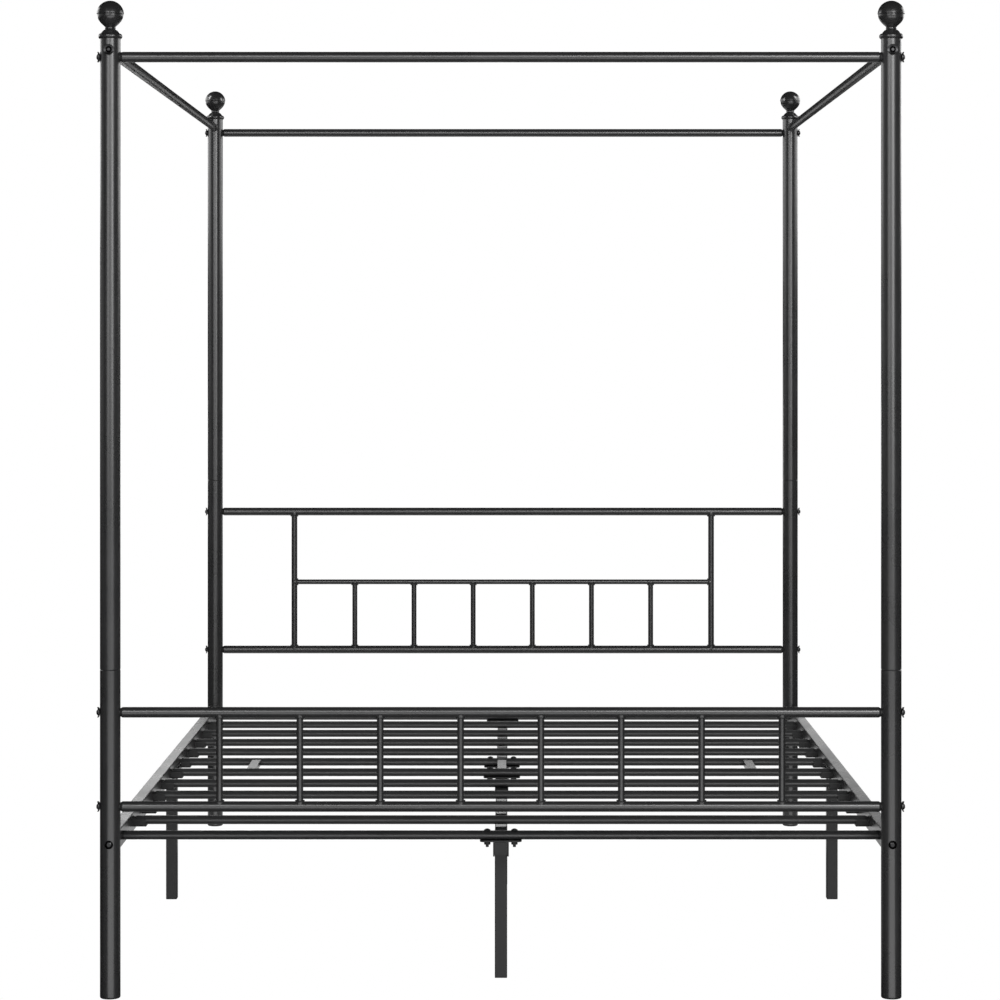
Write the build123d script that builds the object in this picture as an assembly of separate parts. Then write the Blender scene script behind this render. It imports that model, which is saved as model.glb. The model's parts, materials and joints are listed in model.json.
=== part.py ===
from build123d import *
from math import sqrt
import os

# Directions: X runs across the bed, +Y towards the head end, Z up from the floor.
# The origin is on the floor, in the middle of the bed. Sizes are in millimetres.
LEFT, RIGHT = -1, 1
FOOT, HEAD = -1, 1
SIDES = {"left": LEFT, "right": RIGHT}
ENDS = {"foot": FOOT, "head": HEAD}
ACROSS = Vector(1, 0, 0)
ALONG = Vector(0, 1, 0)
UP = Vector(0, 0, 1)
BASE = (Align.CENTER, Align.CENTER, Align.MIN)

# Overall sizes
post_span_across = 1530.0
post_span_along = 2070.0
overall_height = 1953.0

# Posts, each a lower and an upper tube on an inner sleeve
post_diameter = 40.0
post_wall = 1.2
post_edge_bevel = 0.8
post_sleeve_length = 110.0
post_sleeve_wall = 1.5
post_joint_above_rail = 84.0

# Finials: a ball's upper half on a bulb a little narrower, a beaded neck, a domed foot and a round collar
finial_height = 75.0
ball_diameter = 53.5
ball_seam_depth = 2.0
ball_seam_width = 1.8
bulb_rim_inset = 1.15
bulb_shares = ((0.755, 0.42), (0.925, 0.75))
neck_diameter = 19.6
neck_bead_diameter = 21.4
neck_bottom = 18.8
neck_top = 23.2
dome_diameter = 37.0
dome_bulge = 1.2
collar_diameter = 47.2
collar_thickness = 10.0
collar_edge = 3.0

# Round rails, spindles and uprights
rail_diameter = 20.6
rail_wall = 1.2
spindle_diameter = 13.2
spindle_wall = 1.0
upright_diameter = 15.4
upright_outset = 3.4
mid_rail_diameter = 12.7
footboard_top_height = 559.0
footboard_bottom_height = 374.4
headboard_top_height = 835.0
headboard_mid_height = 648.0
headboard_bottom_height = 468.0
spindle_pitch = 157.4
footboard_spindle_count = 8
headboard_spindle_count = 6
canopy_cross_drop = 35.5
canopy_side_drop = 22.5
canopy_sleeve_length = 120.0

# Plugs that close a rail's end and take its bolt
plug_nose_diameter = 16.0
plug_head_length = 4.5
plug_shank_length = 20.0

# Side rails, in two halves joined by an angle at mid-length
side_rail_width = 25.0
side_rail_height = 38.0
side_rail_wall = 1.5
side_rail_corner = 2.0
side_rail_top = 321.5
side_plug_head = 5.0
side_plug_shank = 22.0
angle_length = 120.0
angle_thickness = 3.0
angle_top_drop = 14.0
angle_bolt_places = (15.0, 45.0)

# Slats: flat oval tubes between the side rails, in cradles, the first and the last on end plugs;
# the first one stands a little nearer the foot board than its even place
slat_count = 12
slat_pitch = 168.0
first_slat_shift = 20.0
slat_width = 32.0
slat_height = 17.5
slat_wall = 1.2
slat_top = 312.4
cradle_length = 25.5
cradle_wall = 3.0
cradle_floor = 2.5
cradle_end_wall = 4.0
cradle_top_drop = 4.0
cradle_edge = 3.0
cradle_peg_diameter = 8.0
cradle_peg_length = 5.0
end_plug_shank = 20.0

# Spacer bars between the two middle slats
spacer_width = 20.0
spacer_height = 12.7
spacer_reach = 573.0
spacer_pin_diameter = 6.0
spacer_pin_length = 6.0

# Centre rail, in two halves under the slats
centre_rail_size = 25.0
centre_rail_overhang = 18.0
centre_cap_thickness = 2.0
centre_cap_shank = 12.0
plate_width = 83.0
plate_depth = 34.0
plate_thickness = 3.0
plate_corner = 10.0
plate_bolt_span = 54.0

# Legs: square tubes under the centre rail and the side rails
leg_size = 25.0
leg_wall = 1.2
leg_corner = 2.0
centre_leg_setback = 100.0
bracket_cheek = 3.2
bracket_web = 3.0
bracket_length = 36.0
bracket_skirt = 17.5
bracket_top_drop = 4.0

# Plastic feet under posts and legs
foot_thickness = 4.0
foot_edge = 3.0
foot_plug_height = 15.0

# Bolts, washers and nuts
rail_bolt_diameter = 6.0
rail_bolt_head = 12.0
rail_bolt_head_height = 4.0
side_bolt_diameter = 8.0
side_bolt_head = 16.5
side_bolt_head_height = 4.5
angle_bolt_head = 10.0
angle_bolt_head_height = 3.5
angle_bolt_grip = 14.0
slat_bolt_head = 13.5
slat_bolt_head_height = 4.0
socket_share = 0.45
socket_depth_share = 0.55
head_rim_share = 0.2
washer_diameter = 20.5
washer_thickness = 2.0
washer_bend_radius = 18.0
nut_flange = 14.5
nut_flange_height = 1.5
nut_diameter = 11.0
nut_height = 5.5
slat_bolt_tip = 5.0

# Clearances
bolt_clearance = 0.25
thread_fit = 0.05
push_fit = 0.2
seat_gap = 0.2
joint_gap = 0.6
plug_to_bolt_room = 2.5

# Sizes that follow from those above
post_x = post_span_across / 2
post_y = post_span_along / 2
post_radius = post_diameter / 2
rail_radius = rail_diameter / 2
post_top = overall_height - finial_height
canopy_cross_height = post_top - canopy_cross_drop
canopy_side_height = post_top - canopy_side_drop
finial_plug_depth = canopy_side_drop - rail_bolt_diameter / 2 - plug_to_bolt_room
post_joint_heights = {
    FOOT: footboard_top_height + post_joint_above_rail,
    HEAD: headboard_top_height + post_joint_above_rail,
}
side_rail_middle = side_rail_top - side_rail_height / 2
side_rail_bottom = side_rail_top - side_rail_height
side_rail_inner = post_x - side_rail_width / 2
side_rail_outer = post_x + side_rail_width / 2
slat_middle = slat_top - slat_height / 2
slat_bottom = slat_top - slat_height
slat_half_length = side_rail_inner - cradle_end_wall - seat_gap
slat_places = [(i - (slat_count - 1) / 2) * slat_pitch for i in range(slat_count)]
slat_places[0] -= first_slat_shift
slats_per_half = slat_count // 2
half_ends = ((0, slats_per_half - 1), (slats_per_half, slat_count - 1))
centre_rail_top = slat_bottom - plate_thickness
centre_rail_bottom = centre_rail_top - centre_rail_size
centre_leg_top = centre_rail_bottom - bracket_web
centre_leg_places = [slat_places[first] + centre_leg_setback for first, last in half_ends]
side_leg_top = side_rail_bottom - angle_thickness
side_leg_x = side_rail_inner - angle_thickness + leg_size / 2
upright_x = spindle_pitch * (headboard_spindle_count + 1) / 2 + upright_outset
spacer_places = (-spacer_reach, 0.0, spacer_reach)

# Rails across the bed between two posts: the end that each stands at, and its height
CROSS_RAILS = {
    "footboard_top_rail": (FOOT, footboard_top_height),
    "footboard_bottom_rail": (FOOT, footboard_bottom_height),
    "headboard_top_rail": (HEAD, headboard_top_height),
    "headboard_bottom_rail": (HEAD, headboard_bottom_height),
    "canopy_foot_rail": (FOOT, canopy_cross_height),
    "canopy_head_rail": (HEAD, canopy_cross_height),
}


def save(name, *shapes):
    """Write every solid of the given shapes to one file under the node's name."""
    solids = [solid for shape in shapes for solid in shape.solids()]
    export_step(Compound(solids), os.path.join("parts", name + ".step"))


def bar(start, direction, length, diameter):
    """Solid round bar from a start point along a direction."""
    return Plane(origin=start, z_dir=direction) * Cylinder(diameter / 2, length, align=BASE)


def tube(start, direction, length, diameter, wall):
    """Round tube from a start point along a direction."""
    return bar(start, direction, length, diameter) - bar(start, direction, length, diameter - 2 * wall)


def box_tube(plane, length, width, height, wall, corner):
    """Rectangular tube with round corners, drawn on a plane and drawn out along its normal."""
    inner_corner = max(corner - wall, wall / 2)
    outer = RectangleRounded(width, height, corner)
    inner = RectangleRounded(width - 2 * wall, height - 2 * wall, inner_corner)
    return extrude(plane * (outer - inner), length)


def rail_bar(name, extra=0.0):
    """Solid bar on a cross rail's line, between the post centres, used to shape what meets that rail."""
    end, height = CROSS_RAILS[name]
    return bar((-post_x, end * post_y, height), ACROSS, post_span_across, rail_diameter + 2 * extra)


def post_bar(side, end, extra=0.0):
    """Solid bar on a post's line, used to shape what meets that post."""
    return bar((side * post_x, end * post_y, 0), UP, overall_height, post_diameter + 2 * extra)


# Bolted ends: where a rail meets a post, and which way the bolt's head faces
def cross_rail_ends():
    """Each cross rail end as the point on the post's line and the outward direction."""
    for end, height in CROSS_RAILS.values():
        for side in SIDES.values():
            yield side, end, Vector(side * post_x, end * post_y, height), ACROSS * side


def lengthwise_ends(height):
    """Each end of the rails along the bed at one height, in the same form."""
    for side in SIDES.values():
        for end in ENDS.values():
            yield side, end, Vector(side * post_x, end * post_y, height), ALONG * end


def rail_ends():
    """All ends of the round rails."""
    yield from cross_rail_ends()
    yield from lengthwise_ends(canopy_side_height)


def bolt_hole(centre, outward, diameter):
    """Cutter for a bolt that passes right through a post."""
    hole_diameter = diameter + 2 * bolt_clearance
    return bar(centre - outward * post_diameter, outward, 2 * post_diameter, hole_diameter)


def post_holes(side, end):
    """Cutters for all bolts of one post."""
    holes = [bolt_hole(centre, outward, rail_bolt_diameter)
             for at_side, at_end, centre, outward in rail_ends() if (at_side, at_end) == (side, end)]
    holes += [bolt_hole(centre, outward, side_bolt_diameter)
              for at_side, at_end, centre, outward in lengthwise_ends(side_rail_middle)
              if (at_side, at_end) == (side, end)]
    return holes


def outer_edge(shape, position):
    """The widest round edge at the lowest (0) or highest (-1) level of a shape."""
    level = shape.edges().filter_by(GeomType.CIRCLE).group_by(Axis.Z)[position]
    return level.sort_by(SortBy.RADIUS)[-1]


# Posts
def post_section(side, end, bottom, top, bevelled_end):
    """One tube of a post, bevelled where it meets the other tube."""
    section = tube((side * post_x, end * post_y, bottom), UP, top - bottom, post_diameter, post_wall)
    section = chamfer(outer_edge(section, bevelled_end), post_edge_bevel)
    return section - post_holes(side, end)


def post_sleeve(side, end):
    """Inner sleeve that lines up the two tubes of a post."""
    diameter = post_diameter - 2 * post_wall - 2 * push_fit
    start = (side * post_x, end * post_y, post_joint_heights[end] - post_sleeve_length / 2)
    return tube(start, UP, post_sleeve_length, diameter, post_sleeve_wall) - post_holes(side, end)


def post_foot(side, end):
    """Plastic foot with a plug up into the post."""
    base = Cylinder(post_radius, foot_thickness, align=BASE)
    base = fillet(outer_edge(base, 0), foot_edge)
    plug_radius = post_radius - post_wall - push_fit
    plug = Pos(0, 0, foot_thickness) * Cylinder(plug_radius, foot_plug_height, align=BASE)
    return Pos(side * post_x, end * post_y, 0) * (base + plug)


def make_posts():
    for end_name, end in ENDS.items():
        joint = post_joint_heights[end]
        for side_name, side in SIDES.items():
            lower = post_section(side, end, foot_thickness, joint - joint_gap / 2, -1)
            upper = post_section(side, end, joint + joint_gap / 2, post_top, 0)
            save(f"post_lower_{end_name}_{side_name}", lower)
            save(f"post_upper_{end_name}_{side_name}", upper)
    corners = [(side, end) for side in SIDES.values() for end in ENDS.values()]
    save("post_sleeves", *[post_sleeve(side, end) for side, end in corners])
    save("post_feet", *[post_foot(side, end) for side, end in corners])
    save("finials", *[finial(side, end) for side, end in corners])


def finial(side, end):
    """Bulb, neck, domed foot and collar in one turned shape, with a plug down into the post."""
    ball_radius = ball_diameter / 2
    ball_middle = finial_height - ball_radius
    neck_radius = neck_diameter / 2
    bead = (neck_bead_diameter / 2, (neck_bottom + neck_top) / 2)
    collar_radius = collar_diameter / 2
    dome_radius = dome_diameter / 2
    plug_radius = post_radius - post_wall - push_fit
    seam = ball_seam_width / 2
    seam_radius = sqrt(ball_radius ** 2 - seam ** 2)
    bulb_height = ball_middle - seam - neck_top
    bulb = [(ball_radius * r, neck_top + bulb_height * h) for r, h in bulb_shares]
    bulb_rim = (ball_radius - bulb_rim_inset, ball_middle - seam)
    dome_run, dome_rise = dome_radius - neck_radius, neck_bottom - collar_thickness
    dome_slope = sqrt(dome_run ** 2 + dome_rise ** 2)
    dome_middle = ((dome_radius + neck_radius) / 2 + dome_bulge * dome_rise / dome_slope,
                   (collar_thickness + neck_bottom) / 2 + dome_bulge * dome_run / dome_slope)
    diagonal = ball_radius / sqrt(2)
    outline = [
        Line((0, -finial_plug_depth), (plug_radius, -finial_plug_depth)),
        Line((plug_radius, -finial_plug_depth), (plug_radius, 0)),
        Line((plug_radius, 0), (collar_radius - collar_edge, 0)),
        ThreePointArc((collar_radius - collar_edge, 0), (collar_radius, collar_thickness / 2),
                      (collar_radius - collar_edge, collar_thickness)),
        Line((collar_radius - collar_edge, collar_thickness), (dome_radius, collar_thickness)),
        ThreePointArc((dome_radius, collar_thickness), dome_middle, (neck_radius, neck_bottom)),
        ThreePointArc((neck_radius, neck_bottom), bead, (neck_radius, neck_top)),
        Spline((neck_radius, neck_top), *bulb, bulb_rim, tangents=((1, 1), (0, 1))),
        Line(bulb_rim, (ball_radius - ball_seam_depth, ball_middle)),
        Line((ball_radius - ball_seam_depth, ball_middle), (seam_radius, ball_middle + seam)),
        ThreePointArc((seam_radius, ball_middle + seam), (diagonal, ball_middle + diagonal),
                      (0, finial_height)),
        Line((0, finial_height), (0, -finial_plug_depth)),
    ]
    turned = revolve(Plane.XZ * make_face(outline), Axis.Z)
    return Pos(side * post_x, end * post_y, post_top) * turned


# Head board, foot board and canopy
def make_cross_rails():
    length = post_span_across - 2 * (post_radius + plug_head_length)
    for name, (end, height) in CROSS_RAILS.items():
        start = (-length / 2, end * post_y, height)
        save(name, tube(start, ACROSS, length, rail_diameter, rail_wall))


def upright_tube(x, end, bottom, top, diameter, shapers):
    """Upright tube between two rail centres, shaped to the rails that it is welded to."""
    stick = tube((x, end * post_y, bottom), UP, top - bottom, diameter, spindle_wall)
    return stick - shapers


def make_footboard_spindles():
    shapers = [rail_bar("footboard_bottom_rail", seat_gap), rail_bar("footboard_top_rail", seat_gap)]
    places = [(i - (footboard_spindle_count - 1) / 2) * spindle_pitch for i in range(footboard_spindle_count)]
    save("footboard_spindles", *[
        upright_tube(x, FOOT, footboard_bottom_height, footboard_top_height, spindle_diameter, shapers)
        for x in places])


def make_headboard_grille():
    rails = [rail_bar("headboard_bottom_rail", seat_gap), rail_bar("headboard_top_rail", seat_gap)]
    save("headboard_uprights", *[
        upright_tube(side * upright_x, HEAD, headboard_bottom_height, headboard_top_height,
                     upright_diameter, rails)
        for side in SIDES.values()])
    mid_start = (-upright_x, post_y, headboard_mid_height)
    mid_rail = tube(mid_start, ACROSS, 2 * upright_x, mid_rail_diameter, spindle_wall)
    mid_rail = mid_rail - [
        bar((side * upright_x, post_y, headboard_bottom_height), UP,
            headboard_top_height - headboard_bottom_height, upright_diameter + 2 * seat_gap)
        for side in SIDES.values()]
    save("headboard_mid_rail", mid_rail)
    mid_shaper = bar(mid_start, ACROSS, 2 * upright_x, mid_rail_diameter + 2 * seat_gap)
    places = [(i - (headboard_spindle_count - 1) / 2) * spindle_pitch for i in range(headboard_spindle_count)]
    save("headboard_spindles", *[
        upright_tube(x, HEAD, headboard_bottom_height, headboard_mid_height, spindle_diameter,
                     [rails[0], mid_shaper])
        for x in places])


def make_canopy_side_rails():
    tube_end = post_y - post_radius - plug_head_length
    length = tube_end - joint_gap / 2
    sleeve_diameter = rail_diameter - 2 * rail_wall - 2 * push_fit
    sleeves = []
    for side_name, side in SIDES.items():
        for end_name, end in ENDS.items():
            start = (side * post_x, end * tube_end, canopy_side_height)
            half = tube(start, ALONG * -end, length, rail_diameter, rail_wall)
            save(f"canopy_side_rail_{side_name}_{end_name}", half)
        sleeve_start = (side * post_x, -canopy_sleeve_length / 2, canopy_side_height)
        sleeves.append(tube(sleeve_start, ALONG, canopy_sleeve_length, sleeve_diameter, rail_wall))
    save("canopy_joint_sleeves", *sleeves)


def rail_end_plug(side, end, centre, outward):
    """Tapered end plug, hollowed to the post and bored for its bolt."""
    tube_end = centre - outward * (post_radius + plug_head_length)
    nose = Cone(rail_radius, plug_nose_diameter / 2, plug_head_length, align=BASE)
    tip = bar((0, 0, plug_head_length), UP, post_radius, plug_nose_diameter)
    shank_diameter = rail_diameter - 2 * rail_wall - 2 * push_fit
    shank = bar((0, 0, -plug_shank_length), UP, plug_shank_length, shank_diameter)
    bore = bar((0, 0, -plug_shank_length), UP, 2 * post_diameter, rail_bolt_diameter + 2 * thread_fit)
    plug = Plane(origin=tube_end, z_dir=outward) * (nose + tip + shank - bore)
    return plug - post_bar(side, end, seat_gap)


# Bolts, washers and nuts, drawn with the head's seat at the origin and its top towards +Z
def button_bolt(diameter, length, head_diameter, head_height, socket=True):
    """Bolt with a domed head, a six-sided socket and a plain shank."""
    rise = head_height * (1 - head_rim_share)
    dome_radius = (head_diameter ** 2 / 4 + rise ** 2) / (2 * rise)
    head = Cylinder(head_diameter / 2, head_height, align=BASE)
    head = head & Pos(0, 0, head_height - dome_radius) * Sphere(dome_radius)
    if socket:
        depth = head_height * socket_depth_share
        recess = RegularPolygon(head_diameter * socket_share / 2, 6, major_radius=False)
        head = head - Pos(0, 0, head_height - depth) * extrude(recess, depth)
    return head + bar((0, 0, -length), UP, length, diameter)


def curved_washer():
    """Round washer bent to a tube's curve, resting on the back of its bend."""
    outer = washer_bend_radius + washer_thickness
    bend = Cylinder(outer, washer_diameter) - Cylinder(washer_bend_radius, washer_diameter)
    disc = Cylinder(washer_diameter / 2, outer, align=BASE)
    disc = disc - Cylinder(rail_bolt_diameter / 2 + bolt_clearance, outer, align=BASE)
    return (Pos(0, 0, outer) * Rotation(0, 90, 0) * bend) & disc


def washer_seat():
    """Height of a bolt head over the post: it bears on the washer's bend with its rim."""
    rim = rail_bolt_head / 2
    rise = washer_bend_radius - sqrt(washer_bend_radius ** 2 - rim ** 2)
    return washer_thickness + rise + 2 * seat_gap


def make_rail_fasteners():
    bolt_length = washer_seat() + post_diameter + plug_head_length + plug_shank_length
    bolt = button_bolt(rail_bolt_diameter, bolt_length, rail_bolt_head, rail_bolt_head_height)
    washer = curved_washer()
    bolts, washers, plugs = [], [], []
    for side, end, centre, outward in rail_ends():
        crosswise = outward.cross(UP)
        post_face = centre + outward * post_radius
        washer_plane = Plane(origin=post_face + outward * seat_gap, x_dir=crosswise, z_dir=outward)
        bolt_plane = Plane(origin=post_face + outward * washer_seat(), x_dir=crosswise, z_dir=outward)
        washers.append(washer_plane * washer)
        bolts.append(bolt_plane * bolt)
        plugs.append(rail_end_plug(side, end, centre, outward))
    save("rail_bolts", *bolts)
    save("rail_washers", *washers)
    save("rail_end_plugs", *plugs)


# Side rails
def angle_bolt_seats():
    """Each joint angle bolt as its side and its place along the bed."""
    for side in SIDES.values():
        for place in angle_bolt_places:
            yield side, place
            yield side, -place


def side_rail_half(side, end):
    """Half of a side rail, with holes for the cradle pegs and the joint bolts."""
    tube_end = post_y - post_radius - side_plug_head
    length = tube_end - joint_gap / 2
    plane = Plane(origin=(side * post_x, end * tube_end, side_rail_middle), x_dir=ACROSS, z_dir=ALONG * -end)
    half = box_tube(plane, length, side_rail_width, side_rail_height, side_rail_wall, side_rail_corner)
    middle_line = side * post_x
    pegs = [bar((middle_line, y, slat_middle), ACROSS * -side, side_rail_width,
                cradle_peg_diameter + 2 * push_fit) for y in slat_places]
    bolts = [bar((middle_line, y, side_rail_middle), ACROSS * -side, side_rail_width,
                 rail_bolt_diameter + 2 * bolt_clearance)
             for at_side, y in angle_bolt_seats() if at_side == side]
    return half - pegs - bolts


def side_rail_plug(side, end, centre, outward):
    """End plug of a side rail, hollowed to the post and bored for its bolt."""
    tube_end = centre - outward * (post_radius + side_plug_head)
    plane = Plane(origin=tube_end, x_dir=ACROSS, z_dir=outward)
    head = extrude(plane * RectangleRounded(side_rail_width, side_rail_height, side_rail_corner),
                   side_plug_head + post_radius)
    inset = 2 * (side_rail_wall + push_fit)
    inner_corner = side_rail_corner - side_rail_wall
    shank = extrude(plane * RectangleRounded(side_rail_width - inset, side_rail_height - inset, inner_corner),
                    -side_plug_shank)
    bore = bar(tube_end - outward * side_plug_shank, outward, 2 * post_diameter,
               side_bolt_diameter + 2 * thread_fit)
    return head + shank - bore - post_bar(side, end, seat_gap)


def joint_angle(side):
    """Angle that ties the two halves of a side rail together and stands on the side leg."""
    upright_height = side_rail_height - angle_top_drop + angle_thickness
    upright_middle = side_rail_bottom - angle_thickness + upright_height / 2
    upright = Pos(side * (side_rail_inner - angle_thickness / 2), 0, upright_middle) * Box(
        angle_thickness, angle_length, upright_height)
    shelf = Pos(side * post_x, 0, side_rail_bottom - angle_thickness / 2) * Box(
        side_rail_width, angle_length, angle_thickness)
    holes = [bar((side * side_rail_outer, y, side_rail_middle), ACROSS * -side, 2 * side_rail_width,
                 rail_bolt_diameter + 2 * bolt_clearance)
             for at_side, y in angle_bolt_seats() if at_side == side]
    return upright + shelf - holes


def make_side_rails():
    plugs, bolts = [], []
    bolt_length = post_diameter + side_plug_head + side_plug_shank
    bolt = button_bolt(side_bolt_diameter, bolt_length, side_bolt_head, side_bolt_head_height)
    for side_name, side in SIDES.items():
        for end_name, end in ENDS.items():
            save(f"side_rail_{side_name}_{end_name}", side_rail_half(side, end))
    for side, end, centre, outward in lengthwise_ends(side_rail_middle):
        plugs.append(side_rail_plug(side, end, centre, outward))
        seat = centre + outward * (post_radius + seat_gap)
        bolts.append(Plane(origin=seat, x_dir=ACROSS, z_dir=outward) * bolt)
    save("square_rail_plugs", *plugs, *centre_rail_caps())
    save("side_rail_bolts", *bolts)
    save("joint_angles", *[joint_angle(side) for side in SIDES.values()])
    angle_bolt = button_bolt(rail_bolt_diameter, angle_bolt_grip, angle_bolt_head, angle_bolt_head_height)
    angle_bolts = []
    for side, y in angle_bolt_seats():
        seat = (side * (side_rail_inner - angle_thickness), y, side_rail_middle)
        angle_bolts.append(Plane(origin=seat, x_dir=ALONG, z_dir=ACROSS * -side) * angle_bolt)
    save("joint_bolts", *angle_bolts)


# Slats
def oval_bar(y, start, stop, extra=0.0):
    """Solid bar of a slat's oval outline between two places across the bed, thicker by an allowance."""
    plane = Plane(origin=(start, y, slat_middle), x_dir=ALONG, z_dir=ACROSS)
    return extrude(plane * Ellipse(slat_width / 2 + extra, slat_height / 2 + extra), stop - start)


def slat_bar(y, extra=0.0):
    """Solid bar of a slat's outline and length."""
    return oval_bar(y, -slat_half_length, slat_half_length, extra)


def slat_bolt_seats():
    """Each bolt that ties a slat down to a centre rail plate, as its place across and along the bed."""
    for ends in half_ends:
        for i in ends:
            for side in SIDES.values():
                yield side * plate_bolt_span / 2, slat_places[i]


def slat_bolt_hole(x, y):
    """Upright cutter for a slat bolt."""
    return bar((x, y, centre_rail_bottom), UP, slat_top, rail_bolt_diameter + 2 * bolt_clearance)


def make_slats():
    bolted = [i for ends in half_ends for i in ends]
    facing = {half_ends[0][1]: ALONG, half_ends[1][0]: ALONG * -1}
    for i, y in enumerate(slat_places):
        slat = slat_bar(y) - slat_bar(y, -slat_wall)
        if i in bolted:
            slat = slat - [slat_bolt_hole(x, at) for x, at in slat_bolt_seats() if at == y]
        if i in facing:
            slat = slat - [bar((x, y, slat_middle), facing[i], slat_width,
                               spacer_pin_diameter + 2 * push_fit) for x in spacer_places]
        save(f"slat_{i + 1:02d}", slat)


def slat_peg(side, y):
    """Peg that holds a slat's end fitting in the side rail."""
    start = (side * (side_rail_inner - cradle_end_wall / 2), y, slat_middle)
    return bar(start, ACROSS * side, cradle_end_wall / 2 + cradle_peg_length, cradle_peg_diameter)


def slat_cradle(side, y):
    """Open cradle that holds one slat end, pegged into the side rail."""
    width = slat_width + 2 * (cradle_wall + push_fit)
    top = slat_top - cradle_top_drop
    height = top - slat_bottom + cradle_floor + push_fit
    middle = (side * (side_rail_inner - cradle_length / 2), y, top - height / 2)
    block = Pos(middle) * Box(cradle_length, width, height)
    block = fillet(block.edges().filter_by(Axis.X), cradle_edge)
    hollow_reach = side_rail_inner - cradle_end_wall
    opening = Pos(0, y, slat_middle) * Box(2 * hollow_reach, slat_width + 2 * push_fit, slat_height,
                                           align=(Align.CENTER, Align.CENTER, Align.MIN))
    return block - oval_bar(y, -hollow_reach, hollow_reach, push_fit) - opening + slat_peg(side, y)


def slat_end_plug(side, y):
    """Oval plug that closes the end of the first or the last slat, pegged into the side rail."""
    flange_start = side * (side_rail_inner - cradle_end_wall)
    shank_start = side * (slat_half_length - end_plug_shank)
    flange = oval_bar(y, flange_start, side * side_rail_inner)
    shank = oval_bar(y, shank_start, flange_start, -slat_wall - push_fit)
    return flange + shank + slat_peg(side, y)


def spacer_bar(x):
    """Spacer between the two middle slats, shaped to their sides and pinned into them."""
    first, second = slat_places[half_ends[0][1]], slat_places[half_ends[1][0]]
    middle = (first + second) / 2
    body = Pos(x, middle, slat_middle) * Box(spacer_width, second - first, spacer_height)
    body = body - [slat_bar(y, seat_gap) for y in (first, second)]
    pin_reach = second - first - slat_width + 2 * spacer_pin_length
    pin = bar((x, middle - pin_reach / 2, slat_middle), ALONG, pin_reach, spacer_pin_diameter)
    return body + pin


def make_slat_fittings():
    outer_slats = (slat_places[0], slat_places[-1])
    save("slat_cradles", *[
        slat_end_plug(side, y) if y in outer_slats else slat_cradle(side, y)
        for side in SIDES.values() for y in slat_places])
    save("slat_spacers", *[spacer_bar(x) for x in spacer_places])
    length = slat_height + seat_gap + plate_thickness + nut_flange_height + nut_height + slat_bolt_tip
    bolt = button_bolt(rail_bolt_diameter, length, slat_bolt_head, slat_bolt_head_height, socket=False)
    save("slat_bolts", *[Pos(x, y, slat_top + seat_gap) * bolt for x, y in slat_bolt_seats()])
    flange = Cylinder(nut_flange / 2, nut_flange_height, align=BASE)
    body = extrude(RegularPolygon(nut_diameter / 2, 6, major_radius=False), -nut_height)
    nut = Pos(0, 0, -nut_flange_height) * (flange + body)
    nut = nut - bar((0, 0, -2 * nut_height), UP, 3 * nut_height, rail_bolt_diameter + 2 * thread_fit)
    save("slat_nuts", *[Pos(x, y, centre_rail_top) * nut for x, y in slat_bolt_seats()])


# Centre rail and legs
def centre_rail_caps():
    """Square caps that close the ends of both centre rail halves."""
    caps = []
    shank_size = centre_rail_size - 2 * (leg_wall + push_fit)
    for ends in half_ends:
        for i, outward in zip(ends, (FOOT, HEAD)):
            tube_end = slat_places[i] + outward * centre_rail_overhang
            plane = Plane(origin=(0, tube_end, centre_rail_top - centre_rail_size / 2), x_dir=ACROSS,
                          z_dir=ALONG * outward)
            plate = extrude(plane * RectangleRounded(centre_rail_size, centre_rail_size, leg_corner),
                            centre_cap_thickness)
            shank = extrude(plane * RectangleRounded(shank_size, shank_size, leg_corner / 2),
                            -centre_cap_shank)
            caps.append(plate + shank)
    return caps


def make_centre_rail():
    plates = []
    for (first, last), end_name in zip(half_ends, ENDS):
        start = slat_places[first] - centre_rail_overhang
        length = slat_places[last] - slat_places[first] + 2 * centre_rail_overhang
        plane = Plane(origin=(0, start, centre_rail_top - centre_rail_size / 2), x_dir=ACROSS, z_dir=ALONG)
        save(f"centre_rail_{end_name}",
             box_tube(plane, length, centre_rail_size, centre_rail_size, leg_wall, leg_corner))
        for i in (first, last):
            outline = Pos(0, slat_places[i], centre_rail_top) * RectangleRounded(
                plate_width, plate_depth, plate_corner)
            plate = extrude(outline, plate_thickness)
            plates.append(plate - [slat_bolt_hole(x, y) for x, y in slat_bolt_seats()])
    save("centre_rail_plates", *plates)


def leg_bracket(y):
    """Saddle with two cheeks that hug the centre rail above and the leg below, and a web between them."""
    inside = centre_rail_size / 2 + push_fit
    top = centre_rail_top - bracket_top_drop
    height = top - centre_leg_top + bracket_skirt
    middle = top - height / 2
    cheeks = [Pos(side * (inside + bracket_cheek / 2), y, middle) * Box(bracket_cheek, bracket_length, height)
              for side in SIDES.values()]
    web = Pos(0, y, centre_leg_top + bracket_web / 2) * Box(2 * inside, bracket_length, bracket_web)
    return cheeks[0] + cheeks[1] + web


def leg(x, y, top):
    """Square leg tube that stands on its foot."""
    plane = Plane(origin=(x, y, foot_thickness), x_dir=ACROSS, z_dir=UP)
    return box_tube(plane, top - foot_thickness, leg_size, leg_size, leg_wall, leg_corner)


def leg_foot(x, y):
    """Square plastic foot with a plug up into the leg."""
    base = extrude(RectangleRounded(leg_size, leg_size, leg_corner), foot_thickness)
    base = fillet(base.faces().sort_by(Axis.Z)[0].edges(), foot_edge / 2)
    plug_size = leg_size - 2 * (leg_wall + push_fit)
    plug = extrude(RectangleRounded(plug_size, plug_size, leg_corner / 2), foot_plug_height)
    return Pos(x, y, 0) * (base + Pos(0, 0, foot_thickness) * plug)


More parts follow.
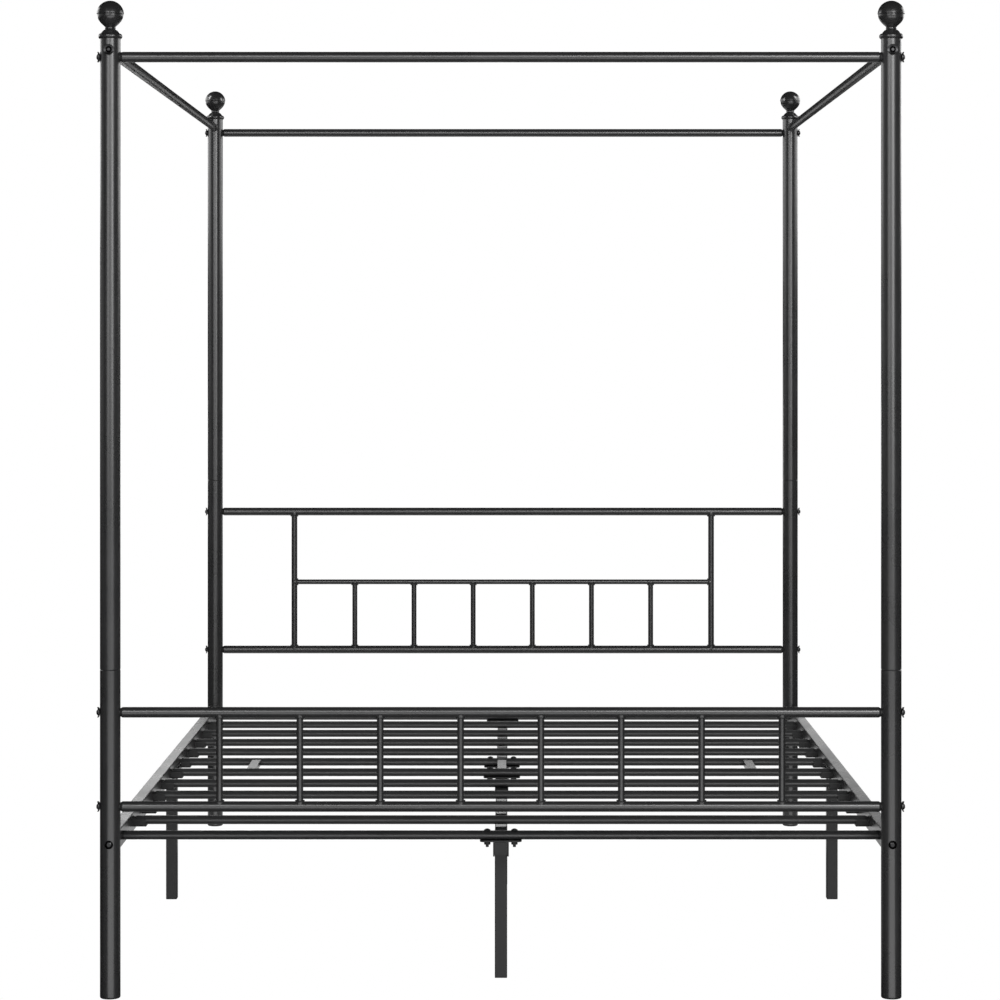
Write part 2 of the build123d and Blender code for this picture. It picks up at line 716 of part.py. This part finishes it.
def make_legs():
    centre_places = [(0.0, y) for y in centre_leg_places]
    side_places = [(side * side_leg_x, 0.0) for side in SIDES.values()]
    save("centre_legs", *[leg(x, y, centre_leg_top) for x, y in centre_places])
    save("side_legs", *[leg(x, y, side_leg_top) for x, y in side_places])
    save("centre_leg_brackets", *[leg_bracket(y) for y in centre_leg_places])
    save("leg_feet", *[leg_foot(x, y) for x, y in centre_places + side_places])


os.makedirs("parts", exist_ok=True)
make_posts()
make_cross_rails()
make_footboard_spindles()
make_headboard_grille()
make_canopy_side_rails()
make_rail_fasteners()
make_side_rails()
make_slats()
make_slat_fittings()
make_centre_rail()
make_legs()
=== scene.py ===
import json
import math

import bpy
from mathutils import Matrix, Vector


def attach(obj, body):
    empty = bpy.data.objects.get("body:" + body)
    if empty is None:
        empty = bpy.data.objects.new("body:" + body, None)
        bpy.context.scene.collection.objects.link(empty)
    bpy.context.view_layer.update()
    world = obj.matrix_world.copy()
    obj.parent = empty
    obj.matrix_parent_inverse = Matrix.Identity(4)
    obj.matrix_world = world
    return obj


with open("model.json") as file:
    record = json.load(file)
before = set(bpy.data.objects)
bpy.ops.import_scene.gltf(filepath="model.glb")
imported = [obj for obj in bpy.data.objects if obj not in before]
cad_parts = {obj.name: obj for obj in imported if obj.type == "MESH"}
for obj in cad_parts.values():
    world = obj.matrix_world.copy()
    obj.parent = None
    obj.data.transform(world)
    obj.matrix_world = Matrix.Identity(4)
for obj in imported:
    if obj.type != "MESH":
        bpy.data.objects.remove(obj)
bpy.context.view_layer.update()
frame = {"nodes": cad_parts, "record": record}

# Sizes and places in metres. X runs across the bed, Y from the foot end to the head end, Z up.
camera_place = (0.0148, -6.812, 1.2795)
camera_lens = 106.16
camera_shift = (-0.0083, -0.1555)
camera_reach = 200.0

# The soft lights: name, middle, point faced, width, height and power in watts.
# Those at or under the floor stand for the light that the floor throws back.
lamps = [
    ("front_panel", (0.0, -7.6, 2.4), (0.0, 0.0, 2.4), 6.8, 3.0, 98.0),
    ("front_middle", (0.0, -5.6, 1.6), (0.0, 0.0, 1.6), 2.0, 2.6, 12.0),
    ("key_softbox", (1.9, -5.1, 2.35), (0.3, 0.0, 1.6), 1.7, 2.9, 106.0),
    ("fill_softbox", (-2.1, -5.1, 2.35), (-0.3, 0.0, 1.6), 1.7, 2.9, 50.0),
    ("strip_left", (-1.4, -5.2, 3.1), (-1.4, 0.0, 1.2), 2.6, 0.7, 54.0),
    ("strip_right", (1.5, -5.2, 3.1), (1.5, 0.0, 1.2), 2.6, 0.7, 90.0),
    ("side_left", (-6.0, 0.0, 2.0), (0.0, 0.0, 2.0), 6.0, 2.4, 24.0),
    ("side_right", (6.0, 0.0, 2.0), (0.0, 0.0, 2.0), 6.0, 2.4, 6.0),
    ("wing_left", (-3.2, 3.0, 2.6), (0.0, 3.0, 2.6), 6.0, 1.8, 92.0),
    ("wing_right", (3.2, 3.0, 2.6), (0.0, 3.0, 2.6), 6.0, 1.8, 115.0),
    ("finial_left", (-2.3, 0.6, 3.13), (-1.9, 1.45, 2.83), 0.7, 0.7, 43.0),
    ("finial_right", (2.3, 0.6, 3.13), (1.9, 1.45, 2.83), 0.7, 0.7, 36.0),
    ("rail_glow_left", (-1.1, 2.5, 0.89), (-1.1, 0.0, 0.89), 1.0, 0.42, 3.4),
    ("rail_glow_middle", (0.0, 2.5, 0.95), (0.0, 0.0, 0.95), 0.3, 0.5, 1.0),
    ("rail_glow_right", (1.1, 2.5, 0.66), (1.1, 0.0, 0.66), 1.0, 0.56, 2.1),
    ("canopy_glow", (0.0, 2.5, 1.62), (0.0, 0.0, 1.62), 1.3, 0.2, 0.55),
    ("floor_sheen", (0.9, -5.6, -1.0), (0.9, 0.0, -1.0), 6.6, 2.0, 122.0),
    ("floor_front", (0.0, -3.2, -0.02), (0.0, -3.2, 1.0), 4.0, 4.0, 6.0),
    ("floor_under", (0.0, 0.0, -0.02), (0.0, 0.0, 1.0), 2.4, 1.6, 2.5),
    ("floor_behind", (0.0, 2.1, -0.02), (0.0, 2.1, 1.0), 2.4, 2.6, 16.0),
]
surround_above = 0.03
surround_below = 0.02

# The floor: how much light it throws back on the bed, and how bright it looks in the picture
floor_size = 60.0
floor_grey = 0.8
floor_roughness = 0.9
floor_white = 1.0

# Finishes: grey, roughness, height of the grain in metres, grains per metre, metallic, specular level
grain_per_metre = 450.0
finishes = {
    "powder_coat": (0.014, 0.28, 0.000003, grain_per_metre, 0.0, 0.5),
    "slat_coat": (0.015, 0.45, 0.000004, grain_per_metre, 0.0, 0.36),
    "leg_coat": (0.012, 0.34, 0.000004, grain_per_metre, 0.0, 0.16),
    "bare_steel": (0.45, 0.3, 0.00001, 900.0, 1.0, 0.5),
    # The black plastic finish is also given to the joint sleeves and the rail end plugs, where it is
    # painted shade.
    "black_plastic": (0.008, 0.55, 0.00003, 900.0, 0.0, 0.25),
    "finial_plastic": (0.011, 0.26, 0.000002, 300.0, 0.0, 0.5),
    "black_bolt": (0.02, 0.2, 0.00001, 900.0, 1.0, 0.5),
    "washer_steel": (0.028, 0.35, 0.00001, 900.0, 1.0, 0.5),
    "felt": (0.014, 0.9, 0.0002, 1500.0, 0.0, 0.1),
}
grain_detail = 2.0
clouds_per_metre = 9.0
cloud_detail = 4.0
cloud_range = (0.3, 0.7)
grey_spread = (0.8, 1.25)
roughness_spread = (0.9, 1.1)
blue_tint = 1.025

# CAD nodes whose finish differs from that of their slot in the record
node_finishes = {
    # The steel sleeves in the joints of the posts and canopy side rails get the black plastic finish:
    # painted shade in the gaps between the tube ends.
    "post_sleeves": "black_plastic",
    "canopy_joint_sleeves": "black_plastic",
    # The rail end plugs get the black plastic finish: painted shadow in the crevice where each rail end
    # meets its post.
    "rail_end_plugs": "black_plastic",
    "rail_washers": "washer_steel",
    "slat_bolts": "black_plastic",
    "slat_nuts": "black_plastic",
    "centre_rail_plates": "black_plastic",
    "centre_leg_brackets": "leg_coat",
    "centre_legs": "leg_coat",
    "side_legs": "leg_coat",
    "joint_angles": "leg_coat",
}
slat_count = 12
for number in range(1, slat_count + 1):
    node_finishes[f"slat_{number:02d}"] = "slat_coat"

# Round tubes and where they meet, for the welds
rail_radius = 0.0103
spindle_radius = 0.0066
mid_rail_radius = 0.00635
upright_radius = 0.0077
upright_outset = 0.0034
post_y = 1.035
spindle_pitch = 0.1574
footboard_top_height = 0.559
footboard_bottom_height = 0.3744
footboard_spindle_count = 8
headboard_top_height = 0.835
headboard_mid_height = 0.648
headboard_bottom_height = 0.468
headboard_spindle_count = 6

# Welds: their leg and roundness, the length in radii of the tube that shapes them, and the ways they turn
weld_leg = 0.0028
weld_bevel = 0.002
weld_sides = 32
shaper_length = 6
bevel_steps = 3
upwards = (0.0, 0.0, 0.0)
downwards = (math.pi, 0.0, 0.0)
sideways = (0.0, math.pi / 2, 0.0)

# Felt band that lies over the centre rail
centre_rail_top = 0.2919
centre_rail_width = 0.025
band_start = -0.300
band_end = -0.236
band_thickness = 0.0024
band_drop = 0.014
band_bevel = 0.0009


def deselect_all():
    bpy.ops.object.select_all(action="DESELECT")


def select_only(*objects):
    """Selects these objects and no other, the first as the active one."""
    deselect_all()
    for thing in objects:
        thing.select_set(True)
    bpy.context.view_layer.objects.active = objects[0]


# Node trees
def new_material(name):
    """A new material with its node tree and its shader."""
    material = bpy.data.materials.new(name)
    material.use_nodes = True
    tree = material.node_tree
    return material, tree, tree.nodes["Principled BSDF"]


def add_node(tree, kind, **settings):
    """A new node with these settings."""
    node = tree.nodes.new(kind)
    for name, value in settings.items():
        setattr(node, name, value)
    return node


def new_group(name, inputs, outputs):
    """An empty node group with its sockets; returns the tree, its input node and its output node."""
    tree = bpy.data.node_groups.new(name, "ShaderNodeTree")
    for socket_name, kind, value in inputs:
        socket = tree.interface.new_socket(socket_name, in_out="INPUT", socket_type=kind)
        socket.default_value = value
    for socket_name, kind in outputs:
        tree.interface.new_socket(socket_name, in_out="OUTPUT", socket_type=kind)
    return tree, add_node(tree, "NodeGroupInput"), add_node(tree, "NodeGroupOutput")


def remap(tree, value, low, high, new_low, new_high):
    """The value, taken from one range to another."""
    node = add_node(tree, "ShaderNodeMapRange")
    for name, number in (("From Min", low), ("From Max", high), ("To Min", new_low), ("To Max", new_high)):
        node.inputs[name].default_value = number
    tree.links.new(value, node.inputs["Value"])
    return node.outputs["Result"]


def surface_group():
    """Fine grain and slow unevenness of a factory finish: a grain height and a cloud mask."""
    number = "NodeSocketFloat"
    tree, entry, results = new_group(
        "surface_grain",
        [("Grain per metre", number, grain_per_metre), ("Cloud per metre", number, clouds_per_metre)],
        [("Height", number), ("Cloud", number)])
    place = add_node(tree, "ShaderNodeTexCoord").outputs["Object"]
    noises = (("Grain per metre", grain_detail, "Height"), ("Cloud per metre", cloud_detail, "Cloud"))
    for scale, detail, output in noises:
        texture = add_node(tree, "ShaderNodeTexNoise")
        texture.inputs["Detail"].default_value = detail
        tree.links.new(place, texture.inputs["Vector"])
        tree.links.new(entry.outputs[scale], texture.inputs["Scale"])
        tree.links.new(texture.outputs["Fac"], results.inputs[output])
    return tree


# Materials
def dark_colour(grey):
    """A grey with a trace of blue."""
    return grey, grey, grey * blue_tint, 1.0


def finish(name, grain_group, grey, roughness, grain_height, grain_scale, metallic, specular):
    """A finish with grain in its height, a cloudy colour and a cloudy roughness."""
    material, tree, shader = new_material(name)
    grain = add_node(tree, "ShaderNodeGroup", node_tree=grain_group)
    grain.inputs["Grain per metre"].default_value = grain_scale
    mix = add_node(tree, "ShaderNodeMix", data_type="RGBA")
    darker, paler = grey_spread
    mix.inputs["A"].default_value = dark_colour(grey * darker)
    mix.inputs["B"].default_value = dark_colour(grey * paler)
    tree.links.new(grain.outputs["Cloud"], mix.inputs["Factor"])
    tree.links.new(mix.outputs["Result"], shader.inputs["Base Color"])
    smoother, rougher = roughness_spread
    rough = remap(tree, grain.outputs["Cloud"], *cloud_range, roughness * smoother, roughness * rougher)
    tree.links.new(rough, shader.inputs["Roughness"])
    shader.inputs["Metallic"].default_value = metallic
    shader.inputs["Specular IOR Level"].default_value = specular
    bump = add_node(tree, "ShaderNodeBump")
    bump.inputs["Distance"].default_value = grain_height
    tree.links.new(grain.outputs["Height"], bump.inputs["Height"])
    tree.links.new(bump.outputs["Normal"], shader.inputs["Normal"])
    return material


def floor_material():
    """Pale floor that lights the bed from below and looks evenly white in the picture."""
    material, tree, shader = new_material("floor")
    shader.inputs["Roughness"].default_value = floor_roughness
    shader.inputs["Specular IOR Level"].default_value = 0.0
    rays = add_node(tree, "ShaderNodeLightPath")
    mix = add_node(tree, "ShaderNodeMix", data_type="RGBA")
    mix.inputs["A"].default_value = (floor_grey, floor_grey, floor_grey, 1.0)
    mix.inputs["B"].default_value = (0.0, 0.0, 0.0, 1.0)
    tree.links.new(rays.outputs["Is Camera Ray"], mix.inputs["Factor"])
    tree.links.new(mix.outputs["Result"], shader.inputs["Base Color"])
    glow = remap(tree, rays.outputs["Is Camera Ray"], 0.0, 1.0, 0.0, floor_white)
    shader.inputs["Emission Color"].default_value = (1.0, 1.0, 1.0, 1.0)
    tree.links.new(glow, shader.inputs["Emission Strength"])
    return material


def make_materials():
    """All finishes by name."""
    grain = surface_group()
    return {name: finish(name, grain, *values) for name, values in finishes.items()}


def dress_frame(materials):
    """Gives each CAD node its own finish, or that of its slot in the record."""
    for subpart in frame["record"]["subparts"]:
        name = subpart["node"]
        chosen = node_finishes.get(name, subpart["material_slot"])
        for place in frame["nodes"][name].material_slots:
            place.material = materials[chosen]


# Pieces
def apply_modifier(thing, kind, **settings):
    """Adds a modifier with these settings and applies it."""
    modifier = thing.modifiers.new(kind.lower(), kind)
    for name, value in settings.items():
        setattr(modifier, name, value)
    select_only(thing)
    bpy.ops.object.modifier_apply(modifier=modifier.name)


def soften(thing, width):
    """Rounds the edges of a piece and shades it smooth."""
    apply_modifier(thing, "BEVEL", width=width, segments=bevel_steps, limit_method="ANGLE")
    bpy.ops.object.shade_smooth_by_angle()


def weld(tube_radius, under_radius):
    """A weld round the foot of an upright tube, on a lying tube whose line runs through the origin."""
    reach = under_radius + weld_leg
    deselect_all()
    bpy.ops.mesh.primitive_cylinder_add(
        vertices=weld_sides, radius=tube_radius + weld_leg, depth=2 * reach, location=(0.0, 0.0, reach))
    bead = bpy.context.object
    bpy.ops.object.transform_apply(location=True, rotation=True, scale=True)
    bpy.ops.mesh.primitive_cylinder_add(
        vertices=2 * weld_sides, radius=reach, depth=shaper_length * reach, rotation=sideways)
    lying = bpy.context.object
    apply_modifier(bead, "BOOLEAN", operation="INTERSECT", object=lying)
    bpy.data.objects.remove(lying)
    soften(bead, weld_bevel)
    return bead


def set_welds(name, model, places, materials):
    """Copies of a weld, each turned and moved to its place, joined to one piece; the model is removed."""
    copies = []
    for turn, move in places:
        select_only(model)
        bpy.ops.object.duplicate()
        copy = bpy.context.object
        copy.rotation_euler = turn
        copy.location = move
        bpy.ops.object.transform_apply(location=True, rotation=True, scale=True)
        copies.append(copy)
    bpy.data.objects.remove(model)
    select_only(*copies)
    bpy.ops.object.join()
    piece = bpy.context.object
    piece.name = name
    piece.data.materials.clear()
    piece.data.materials.append(materials["powder_coat"])
    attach(piece, "root")


def inwards(side):
    """Turn of a weld that lies across the bed, with its tube towards the middle."""
    return (0.0, -side * math.pi / 2, 0.0)


def row(count):
    """Places across the bed of a row of spindles."""
    return [(i - (count - 1) / 2) * spindle_pitch for i in range(count)]


def footboard_welds(materials):
    """Welds at both ends of the foot board's spindles."""
    places = []
    for x in row(footboard_spindle_count):
        places.append((upwards, (x, -post_y, footboard_bottom_height)))
        places.append((downwards, (x, -post_y, footboard_top_height)))
    set_welds("footboard_welds", weld(spindle_radius, rail_radius), places, materials)


def headboard_spindle_welds(materials):
    """Welds of the head board's spindles, on the bottom rail and under the mid rail."""
    spindles = row(headboard_spindle_count)
    low = [(upwards, (x, post_y, headboard_bottom_height)) for x in spindles]
    set_welds("headboard_spindle_welds", weld(spindle_radius, rail_radius), low, materials)
    high = [(downwards, (x, post_y, headboard_mid_height)) for x in spindles]
    set_welds("headboard_mid_welds", weld(spindle_radius, mid_rail_radius), high, materials)


def upright_welds(materials):
    """Welds of the head board's uprights, and of the mid rail between them."""
    upright_x = spindle_pitch * (headboard_spindle_count + 1) / 2 + upright_outset
    ends = []
    middles = []
    for side in (-1, 1):
        x = side * upright_x
        ends.append((upwards, (x, post_y, headboard_bottom_height)))
        ends.append((downwards, (x, post_y, headboard_top_height)))
        middles.append((inwards(side), (x, post_y, headboard_mid_height)))
    set_welds("headboard_upright_welds", weld(upright_radius, rail_radius), ends, materials)
    set_welds("mid_rail_welds", weld(mid_rail_radius, upright_radius), middles, materials)


def rail_band(materials):
    """Felt band folded over the centre rail: the top and two sides of a box, given a thickness."""
    outside = centre_rail_width + 2 * band_thickness
    height = band_thickness + band_drop
    middle = (0.0, (band_start + band_end) / 2, centre_rail_top + band_thickness - height / 2)
    deselect_all()
    bpy.ops.mesh.primitive_cube_add(size=1.0, location=middle)
    band = bpy.context.object
    band.name = "centre_rail_band"
    band.scale = (outside, band_end - band_start, height)
    bpy.ops.object.transform_apply(location=True, rotation=True, scale=True)
    bpy.ops.object.mode_set(mode="EDIT")
    bpy.ops.mesh.select_mode(type="FACE")
    bpy.ops.mesh.select_all(action="DESELECT")
    bpy.ops.object.mode_set(mode="OBJECT")
    for face in band.data.polygons:
        face.select = face.normal.z < -0.5 or abs(face.normal.y) > 0.5
    bpy.ops.object.mode_set(mode="EDIT")
    bpy.ops.mesh.delete(type="FACE")
    bpy.ops.object.mode_set(mode="OBJECT")
    apply_modifier(band, "SOLIDIFY", thickness=band_thickness, offset=-1.0)
    soften(band, band_bevel)
    band.data.materials.append(materials["felt"])
    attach(band, "root")


# Studio
def area_light(name, place, target, width, height, power):
    """A soft light that faces a point, and that the camera doesn't see."""
    deselect_all()
    bpy.ops.object.light_add(type="AREA", location=place)
    lamp = bpy.context.object
    lamp.name = name
    lamp.data.shape = "RECTANGLE"
    lamp.data.size = width
    lamp.data.size_y = height
    lamp.data.energy = power
    lamp.rotation_euler = (Vector(target) - Vector(place)).to_track_quat("-Z", "Y").to_euler()
    lamp.visible_camera = False


def make_floor():
    """A wide floor that reflections leave out and that the lamps under it shine through."""
    deselect_all()
    bpy.ops.mesh.primitive_plane_add(size=floor_size, location=(0.0, 0.0, 0.0))
    floor = bpy.context.object
    floor.name = "floor"
    floor.data.materials.append(floor_material())
    floor.visible_glossy = False
    floor.visible_shadow = False


def make_surround():
    """White to the camera, and a dim gradient up and down to everything else."""
    world = bpy.data.worlds.new("surround")
    bpy.context.scene.world = world
    world.use_nodes = True
    tree = world.node_tree
    tree.nodes.clear()
    way = add_node(tree, "ShaderNodeTexCoord")
    split = add_node(tree, "ShaderNodeSeparateXYZ")
    tree.links.new(way.outputs["Generated"], split.inputs["Vector"])
    above = remap(tree, split.outputs["Z"], 0.0, 1.0, 0.0, surround_above)
    below = remap(tree, split.outputs["Z"], 0.0, -1.0, 0.0, surround_below)
    both = add_node(tree, "ShaderNodeMath", operation="ADD")
    tree.links.new(above, both.inputs[0])
    tree.links.new(below, both.inputs[1])
    rays = add_node(tree, "ShaderNodeLightPath")
    pick = add_node(tree, "ShaderNodeMix", data_type="FLOAT")
    tree.links.new(rays.outputs["Is Camera Ray"], pick.inputs["Factor"])
    tree.links.new(both.outputs["Value"], pick.inputs["A"])
    pick.inputs["B"].default_value = 1.0
    light = add_node(tree, "ShaderNodeBackground")
    light.inputs["Color"].default_value = (1.0, 1.0, 1.0, 1.0)
    tree.links.new(pick.outputs["Result"], light.inputs["Strength"])
    out = add_node(tree, "ShaderNodeOutputWorld")
    tree.links.new(light.outputs["Background"], out.inputs["Surface"])


def make_camera():
    """Level camera at the foot end, with the picture shifted to hold the whole bed."""
    deselect_all()
    bpy.ops.object.camera_add(location=camera_place, rotation=(math.radians(90.0), 0.0, 0.0))
    camera = bpy.context.object
    camera.data.lens = camera_lens
    camera.data.shift_x, camera.data.shift_y = camera_shift
    camera.data.clip_end = camera_reach
    bpy.context.scene.camera = camera
    bpy.context.scene.view_settings.view_transform = "Standard"


def make_studio():
    """Floor, lights, surround and camera."""
    make_floor()
    for lamp in lamps:
        area_light(*lamp)
    make_surround()
    make_camera()


materials = make_materials()
dress_frame(materials)
footboard_welds(materials)
headboard_spindle_welds(materials)
upright_welds(materials)
rail_band(materials)
make_studio()
